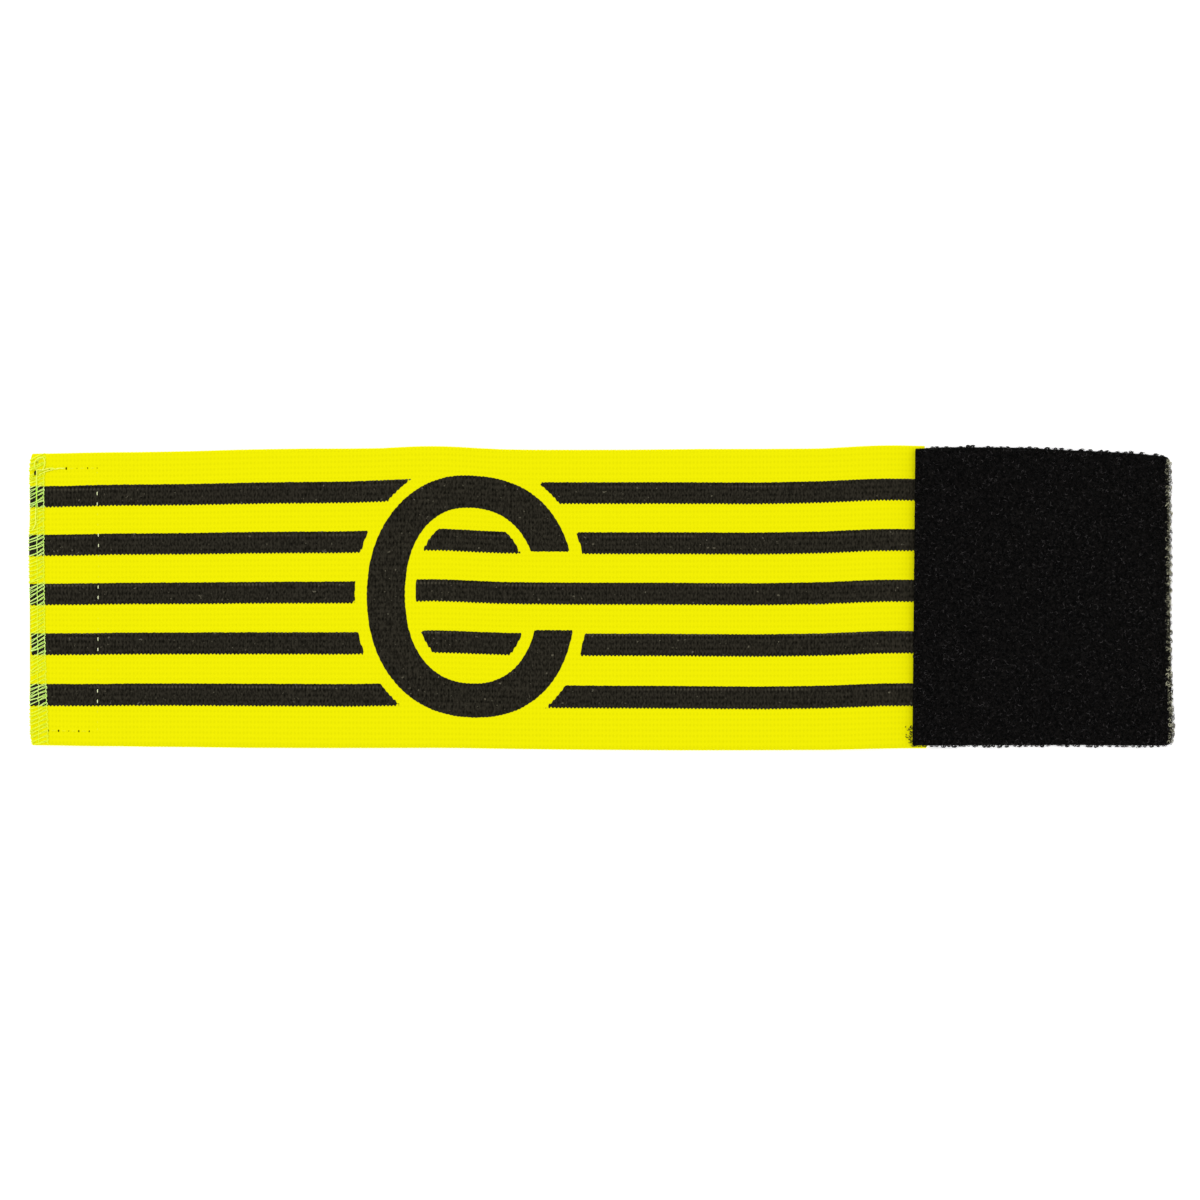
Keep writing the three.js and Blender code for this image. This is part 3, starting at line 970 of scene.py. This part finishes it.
# %% Overlocking
STITCH = 1.24 * MM
FIRST_NEEDLE = 2.05 * MM  # from the cut end
SECOND_NEEDLE = 3.85 * MM
LINE_DRIFT = (  # place across, and how far in the second line has drifted there, in millimetres
    (-45, 1.25), (-40, 1.15), (-30, 0.75), (-15, 0.35), (0, 0.15), (12, 0), (35, 0), (45, 0.4),
)
FIRST_DRIFT = 0.76  # up to the first needle's line, threads drift by this share of that
NEEDLE_HEIGHT = 0.26 * MM
NEEDLE_BULGE = 0.3 * MM
NEEDLE_WOBBLE = 0.06 * MM

CLIMB = 0.85 * MM  # how far across the band a leg goes between the end and the first needle
CLIMB_SPREAD = 0.15 * MM
LEG_SHIFT = 0.16 * MM  # how far a stitch is off its place
LEG_HEIGHT = 0.1 * MM
LEG_START = 0.25 * MM  # where a leg lies down on the face, from the cut end
PARTING = 0.22 * MM  # the most that two legs are apart at the first needle
CLOSE_LEGS = (0.05 * MM, 0.2 * MM)  # how far apart they are at the end
WIDE_LEGS = (0.35 * MM, 0.65 * MM)
CLOSE_SHARE = 0.65  # how many stitches have their legs close
TIP_CLIMB = (0.8 * MM, 1.4 * MM)  # how far up the band a stitch goes past the first needle
TIP_LENGTH = 0.2 * MM
TIP_WIDTH = 0.3 * MM
WRAP = 0.24 * MM  # how far the thread stands out from the cut end
WRAP_FALL = 0.2 * MM  # and how far down the band it has gone there
UNDER_REACH = 1.1 * MM  # how far it goes on under the band

FIRST_STITCH = 1.0 * MM  # from the far edge
LAST_STITCH = 0.9 * MM  # from the near edge
SEAM_MARGIN = 0.25 * MM

stitch_places = np.arange(BAND_WIDTH / 2 - FIRST_STITCH, -BAND_WIDTH / 2 + LAST_STITCH, -STITCH)
limit = BAND_WIDTH / 2 - SEAM_MARGIN


def seam_point(along, across, height):
    """A point of the overlocking, which stays on the band and follows its worn corners."""
    across = min(limit, max(-limit, across))
    inset = worn_end(across) * min(1, max(0, 1 - along / FIRST_NEEDLE))
    drift = read_table(LINE_DRIFT, across / MM) * MM * max(0, along / SECOND_NEEDLE)
    if along <= FIRST_NEEDLE:
        drift *= FIRST_DRIFT
    return on_band(along + inset + drift, across, height)


looper_paths = []
for place in stitch_places:
    parting = random.uniform(0, PARTING)
    spread = random.uniform(*(CLOSE_LEGS if random.random() < CLOSE_SHARE else WIDE_LEGS))
    across = place + random.normal(0, LEG_SHIFT)
    tip = across + random.uniform(*TIP_CLIMB)
    up = across - CLIMB + random.normal(0, CLIMB_SPREAD)
    down = up - spread
    looper_paths.append([
        seam_point(UNDER_REACH, up - 2 * WRAP_FALL, -BAND_THICKNESS),
        seam_point(-WRAP, up - WRAP_FALL, -BAND_THICKNESS / 2),
        seam_point(LEG_START, up, LEG_HEIGHT),
        seam_point(FIRST_NEEDLE, across, LEG_HEIGHT),
        seam_point(SECOND_NEEDLE, tip, LEG_HEIGHT),
        seam_point(SECOND_NEEDLE + TIP_LENGTH, tip - TIP_WIDTH / 2, LEG_HEIGHT),
        seam_point(SECOND_NEEDLE, tip - TIP_WIDTH, LEG_HEIGHT / 2),
        seam_point(FIRST_NEEDLE, across - parting, LEG_HEIGHT),
        seam_point(LEG_START, down, LEG_HEIGHT),
        seam_point(-WRAP, down - WRAP_FALL, -BAND_THICKNESS / 2),
        seam_point(UNDER_REACH, down - 1.5 * WRAP_FALL, -BAND_THICKNESS),
    ])

needle_paths = [[], []]
for across in stitch_places:
    wobble = random.normal(0, NEEDLE_WOBBLE)
    for path, line, bulge in zip(needle_paths, (FIRST_NEEDLE, SECOND_NEEDLE), (0.0, NEEDLE_BULGE)):
        path.append(seam_point(line + wobble, across, NEEDLE_HEIGHT / 3))
        path.append(seam_point(line + wobble + bulge, across - STITCH / 2, NEEDLE_HEIGHT))
print("overlocked stitches:", len(looper_paths))

# %% [markdown]
# ## The thread's material
#
# The thread is spun polyester in the band's own neon colour, but thin enough for light to pass
# through. So it looks yellow over the bare band and pale green over the ink. Every vertex of a
# thread knows how deep in a stripe it lies, and the shader blends the two looks by that number.
# The thread is matt, and its plies and loose hairs make it slightly uneven.

# %% Thread material
PLY = 0.4 * MM  # the length of one twist
PLY_RELIEF = 0.05 * MM


def sewing_thread(name, over_bare, over_ink):
    """Spun polyester thread, uneven along its length. Each look is a pale and a deep colour."""
    material, tree = new_material(name, roughness=0.7, specular=0.1)
    place = add_node(tree, PLACE, output="Object")
    plies = add_node(tree, NOISE, {"Vector": place, "Scale": 1 / PLY, "Detail": 2.0})
    tone = add_node(tree, RANGE, {"Value": plies, "From Min": 0.35, "From Max": 0.65})
    depth = add_node(tree, ATTRIBUTE, output="Fac", attribute_name="ink_below")
    ink_share = add_node(tree, RANGE, {"Value": depth, "From Min": -0.35, "From Max": 0.25})
    bare, inked = [
        add_node(tree, MIX, {0: tone, 6: linear(deep), 7: linear(pale)}, **COLOURS)
        for pale, deep in (over_bare, over_ink)
    ]
    add_node(tree, MIX, {0: ink_share, 6: bare, 7: inked}, to="Base Color", **COLOURS)
    add_node(tree, BUMP, {"Height": plies, "Distance": PLY_RELIEF, "Strength": 0.5}, to="Normal")
    return material


thread_material = sewing_thread(
    "polyester_thread_spun_neon", over_bare=(0xF9FF4C, 0xEAFF1E), over_ink=(0xEEFFA0, 0xC2FC62),
)
overlock_mesh = thread_mesh("overlock_threads", looper_paths + needle_paths, OVERLOCK_THREAD)
overlock = add_piece("overlock_threads", overlock_mesh, thread_material)

# %% [markdown]
# ## Lockstitches
#
# A box of plain lockstitches holds the hook tape under the band. Its one line that runs across the
# band crosses the black stripes, and shows there as pale dashes: each stitch comes up for a
# millimetre and is pulled down into the weave again. The bare yellow weave is softer than the
# printed one, so there the stitches sink and are nearly lost. Along the two lines near the long
# edges the needle has left dark pits between the ribs.

# %% Lockstitches
STITCH_LENGTH = 3.18 * MM
BOX_ALONG = 20.25 * MM  # the line across the band, from the stitched end
LINE_STRAY = (  # place across, and how far along the line strays there, in millimetres
    (-31, -0.15), (-14, 0.0), (3, 0.05), (17, 0.2), (23, -0.05), (31, -0.25),
)
BOX_FAR = 40.2 * MM
BOX_NEAR = -40.5 * MM
DASH = 0.45 * MM  # half of what shows of a stitch
DASH_SPREAD = (0.85, 1.15)
SUNK_DASH = 0.3 * MM
SUNK = 0.13 * MM  # how much lower a stitch lies in the bare weave
SIDE_DASH = 0.75 * MM
STITCH_ARC = (  # places along a stitch, in dashes from its middle, and heights in millimetres
    (-1.5, -0.5), (-1.1, -0.22), (-0.55, 0.05), (0, 0.1), (0.55, 0.05), (1.1, -0.22), (1.5, -0.5),
)
FAR_PITS = (  # along and across
    (20.0, 40.05), (17.1, 40.05), (13.9, 40.05), (10.7, 40.05), (5.7, 39.8),
)
NEAR_PITS = ((17.6, -40.5), (14.5, -40.5), (11.5, -40.5), (8.4, -40.5), (5.4, -40.5))

cross_holes = np.append(np.arange(BOX_FAR, BOX_NEAR + STITCH_LENGTH / 3, -STITCH_LENGTH), BOX_NEAR)
far_pits, near_pits = [[tuple(Vector(pit) * MM) for pit in pits] for pits in (FAR_PITS, NEAR_PITS)]


def line_wander(across):
    """How far along the line across lies at a place: it isn't quite straight."""
    return BOX_ALONG + read_table(LINE_STRAY, across / MM) * MM


def stitch_path(start, end, dash):
    """One stitch: down in the weave at both ends, and up in the middle for a dash each way."""
    middle = (start + end) / 2
    way = (end - start).normalized()
    return [
        middle + way * dash * reach + Vector((0, 0, height * MM)) for reach, height in STITCH_ARC
    ]


dash_paths = []
for far_hole, near_hole in zip(cross_holes[:-1], cross_holes[1:]):
    on_ink = stripe_depth(BOX_ALONG / MM, (far_hole + near_hole) / 2 / MM) > 0
    dash, height = (DASH, 0) if on_ink else (SUNK_DASH, -SUNK)
    ends = [on_band(line_wander(hole), hole, height) for hole in (far_hole, near_hole)]
    dash_paths.append(stitch_path(*ends, dash * random.uniform(*DASH_SPREAD)))
for pits in (far_pits[:4], near_pits):
    for pit, next_pit in zip(pits[:-1], pits[1:]):
        ends = [on_band(*hole, -SUNK) for hole in (pit, next_pit)]
        dash_paths.append(stitch_path(*ends, SIDE_DASH))
stitch_material = sewing_thread(
    "polyester_thread_spun_fine", over_bare=(0xF4F228, 0xEFEE10), over_ink=(0xFFFFDC, 0xEEFFB8),
)
lockstitch_mesh = thread_mesh("lockstitches", dash_paths, STITCH_THREAD)
lockstitches = add_piece("lockstitches", lockstitch_mesh, stitch_material)

# %% [markdown]
# ## Needle marks
#
# Each pit is a small dark hollow where the needle pushed the ribs apart, and it lies in shade. One
# more lies beside the first stitches of the overlocking. A low oval dome painted dark olive, level
# with the ribs, is that painted shade: it gives the eye the same dark dot without cutting the
# webbing. Below the thread tail the overlocking leaves a long gap in full shade, and a black dome
# between the threads stands for it as painted shade.

# %% Needle marks
PIT_HALF_WIDTH = 0.25 * MM
PIT_HALF_HEIGHT = 0.42 * MM
PIT_BULGE = 0.12 * MM
PIT_DEPTH = 0.1 * MM
PIT_GRAIN = 0.6667 * MM
FAR_STRENGTHS = (0.55, 0.9, 0.65, 1.1, 0.8)
NEAR_STRENGTHS = (0.7, 0.9, 0.6, 1.0, 0.75)
SEAM_PIT = (2.1, 42.0, 0.0)  # along, across and height in millimetres
SEAM_PIT_SIZE = 0.75
GAP = (1.58, 38.75, 0.38)
GAP_STRETCH = (1.75, 1.75, 1.0)

pit_shape = bmesh.new()
bmesh.ops.create_icosphere(pit_shape, subdivisions=2, radius=1.0)
pit_size = (PIT_HALF_WIDTH, PIT_HALF_HEIGHT, PIT_BULGE)
bmesh.ops.scale(pit_shape, verts=pit_shape.verts, vec=pit_size)
pit_places = [
    placed(on_band(*pit, -PIT_DEPTH), size=strength)
    for pit, strength in zip(far_pits + near_pits, FAR_STRENGTHS + NEAR_STRENGTHS)
]
pit_places.append(placed(on_band(*(Vector(SEAM_PIT) * MM)), size=SEAM_PIT_SIZE))
gap_shape = pit_shape.copy()
bmesh.ops.scale(gap_shape, verts=gap_shape.verts, vec=GAP_STRETCH)
pit_material, tree = new_material("elastic_pit_in_shade", roughness=1.0, specular=0.0)
place = add_node(tree, PLACE, output="Object")
yarns = add_node(tree, NOISE, {"Vector": place, "Scale": 1 / PIT_GRAIN})
pit_colours = {0: yarns, 6: linear(0x262400), 7: linear(0x6E6A00)}
add_node(tree, MIX, pit_colours, to="Base Color", **COLOURS)
pit_mesh = many("needle_marks", pit_shape, pit_places)
needle_marks = add_piece("needle_marks", pit_mesh, pit_material)
gap_material, _ = new_material(
    "elastic_gap_in_full_shade", roughness=1.0, specular=0.0, more={"Base Color": linear(0x10140C)},
)
gap_mesh = many("seam_gap", gap_shape, [placed(on_band(*(Vector(GAP) * MM)))])
seam_gap = add_piece("seam_gap", gap_mesh, gap_material)

# %% [markdown]
# ## Thread tail
#
# Where the overlocking started, its chain of thread was cut and left loose. Two ends lie over the
# band to the right, one runs down beside the cut end, and one curls up and round. Their routes are
# lists of points, along and across the band in millimetres, with a height above it.
# Loose thread lets more light through than thread drawn tight, so its colours are a little paler.

# %% Thread tail
TAIL_ROUTES = (
    ((2.0, 39.7, 0.5), (3.9, 39.7, 0.5), (5.1, 40.0, 0.45), (6.3, 40.2, 0.35), (7.4, 39.9, 0.3),
     (8.4, 40.1, 0.25), (10.3, 40.1, 0.05)),
    ((2.0, 39.8, 0.55), (1.9, 36.5, 0.55), (1.9, 34.7, 0.6), (1.95, 31.0, 0.6), (1.8, 28.6, 0.55),
     (1.65, 25.3, 0.6), (1.65, 23.4, 0.5), (1.2, 22.0, 0.5), (0.6, 21.3, 0.3)),
    ((1.65, 39.8, 0.5), (1.3, 41.4, 0.6), (2.0, 42.9, 0.6), (3.6, 43.5, 0.5), (4.3, 42.7, 0.45),
     (4.3, 41.1, 0.45), (3.6, 39.4, 0.4)),
    ((2.6, 38.2, 0.4), (3.8, 38.8, 0.35), (5.2, 39.4, 0.3), (6.8, 39.8, 0.2)),
)
TAIL_THREAD = 0.34 * MM
tail_paths = [[on_band(*(Vector(stop) * MM)) for stop in route] for route in TAIL_ROUTES]
tail_mesh = thread_mesh("thread_tail", tail_paths, TAIL_THREAD, fineness=6)
loose_material = sewing_thread(
    "polyester_thread_spun_loose", over_bare=(0xFDFF74, 0xEEFF38), over_ink=(0xDCFF64, 0xAEF632),
)
thread_tail = add_piece("thread_tail", tail_mesh, loose_material)

# %% [markdown]
# ## Stray fibres
#
# Black filaments shed by the patch cling to the yellow beside it, most of them near its lower
# corner, and some along the band's near edge just under it. Each is a short bent thread that lies
# flat on the ribs and turns a little at each of its points.

# %% Stray fibres
STRAY_THICKNESS = 0.13 * MM
STRAY_POINTS = 5
STRAY_STEP = 0.16 * MM
STRAY_BEND = 0.7  # radians at each point
STRAY_HEIGHT = 0.08 * MM
LOWEST_FIBRE = -44.7 * MM
STRAY_GROUPS = (  # how many, and their range along from the patch's end and across, in millimetres
    (40, (-0.3, 0.5), (-44.5, -38.5)),
    (8, (-1.6, -0.4), (-42.5, -38.5)),
    (24, (0.3, 4.5), (-44.7, -44.3)),
)

stray_paths = []
fibres = [(ends, places) for count, ends, places in STRAY_GROUPS for _ in range(count)]
for along_range, across_range in fibres:
    along = patch.low.x - band.low.x + random.uniform(*along_range) * MM
    across = random.uniform(*across_range) * MM
    way = random.uniform(0, 2 * math.pi)
    path = []
    for _ in range(STRAY_POINTS):
        path.append(on_band(along, max(across, LOWEST_FIBRE), STRAY_HEIGHT))
        way += random.normal(0, STRAY_BEND)
        along += STRAY_STEP * math.cos(way)
        across += STRAY_STEP * math.sin(way)
    stray_paths.append(path)
stray_material = nylon_filament("nylon_filament_shed", 0x14130C, 0x33321C, 0.5)
stray_mesh = thread_mesh("stray_fibres", stray_paths, STRAY_THICKNESS)
stray_fibres = add_piece("stray_fibres", stray_mesh, stray_material)

# %% [markdown]
# ## The hook tape
#
# The hook tape is sewn under the stitched end, where the photograph doesn't show it. It is made as
# such tapes are: a woven nylon ground with rows of small moulded hooks, which point down here and
# lean to both sides by turns, so that they catch the loops from either way.

# %% Hook tape
TAPE_GROUND = 0.45 * MM
TAPE_EDGE = 0.15 * MM
TAPE_COLUMNS = 40
TAPE_ROWS = 160
TAPE_RELIEF = 0.05 * MM

tape_low, tape_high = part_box("hook_tape")
tape_middle = (tape_low + tape_high) / 2
tape_size = tape_high - tape_low
ground_middle = tape_high.z - TAPE_GROUND / 2


def ground_place(column, row):
    """Where a vertex of the tape's ground lies, with its warp and weft yarns raised by turns."""
    across, level, step = row
    x = tape_low.x + column / TAPE_COLUMNS * tape_size.x
    sunk = TAPE_RELIEF * ((column + step) % 2)
    return Vector((x, tape_middle.y + across, ground_middle + level * (TAPE_GROUND / 2 - sunk)))


tape_rows = cross_section(tape_size.y, TAPE_EDGE, TAPE_ROWS, TAPE_ROWS)
ground_mesh = roll_cloth("hook_ground", TAPE_COLUMNS, tape_rows, TAPE_GROUND, ground_place)

HOOK_RADIUS = 0.2 * MM
HOOK_WIRE = 0.13 * MM
HOOK_STEM = tape_size.z - TAPE_GROUND - HOOK_RADIUS - HOOK_WIRE
HOOK_SPACING_ALONG = 1.25 * MM
HOOK_SPACING_ACROSS = 1.1 * MM
HOOK_MARGIN = 0.9 * MM
HOOK_WOBBLE = 0.1  # radians

first_hook, last_hook = [corner.xy for corner in (tape_low, tape_high)]
first_hook += Vector((HOOK_MARGIN, HOOK_MARGIN))
last_hook -= Vector((HOOK_MARGIN, HOOK_MARGIN))
hook_places = []
for i, x in enumerate(np.arange(first_hook.x, last_hook.x, HOOK_SPACING_ALONG)):
    for y in np.arange(first_hook.y, last_hook.y, HOOK_SPACING_ACROSS):
        way = math.pi / 2 if i % 2 else -math.pi / 2
        place = Vector((x, y, tape_high.z - TAPE_GROUND - HOOK_STEM))
        hook_places.append(placed(place, way + random.normal(0, HOOK_WOBBLE), math.pi))
hook_shape = bent_thread(HOOK_RADIUS, HOOK_WIRE, degrees=160, steps=4, stem=HOOK_STEM, sides=4)
hook_mesh = many("hooks", hook_shape, hook_places)

# %% [markdown]
# ## Hook tape's material
#
# The ground is black woven nylon, matt. The hooks are the same nylon as single thick filaments,
# cut and set by heat, so each one is smooth enough for a small highlight.

# %% Hook tape materials
TAPE_GRAIN = 0.5556 * MM  # about a yarn's width

ground_material, tree = new_material(
    "nylon_tape_woven", roughness=0.8, specular=0.2, ior=NYLON_IOR,
)
place = add_node(tree, PLACE, output="Object")
yarns = add_node(tree, NOISE, {"Vector": place, "Scale": 1 / TAPE_GRAIN, "Detail": 2.0})
ground_colours = {0: yarns, 6: linear(0x101010), 7: linear(0x242424)}
add_node(tree, MIX, ground_colours, to="Base Color", **COLOURS)
hook_material, tree = new_material(
    "nylon_hooks_heat_set", roughness=0.4, specular=0.5, ior=NYLON_IOR,
)
island = add_node(tree, ISLANDS, output="Random Per Island")
hook_colours = {0: island, 6: linear(0x161616), 7: linear(0x262626)}
add_node(tree, MIX, hook_colours, to="Base Color", **COLOURS)
hook_ground = add_piece("hook_ground", ground_mesh, ground_material)
hooks = add_piece("hooks", hook_mesh, hook_material)
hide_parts("hook_tape")
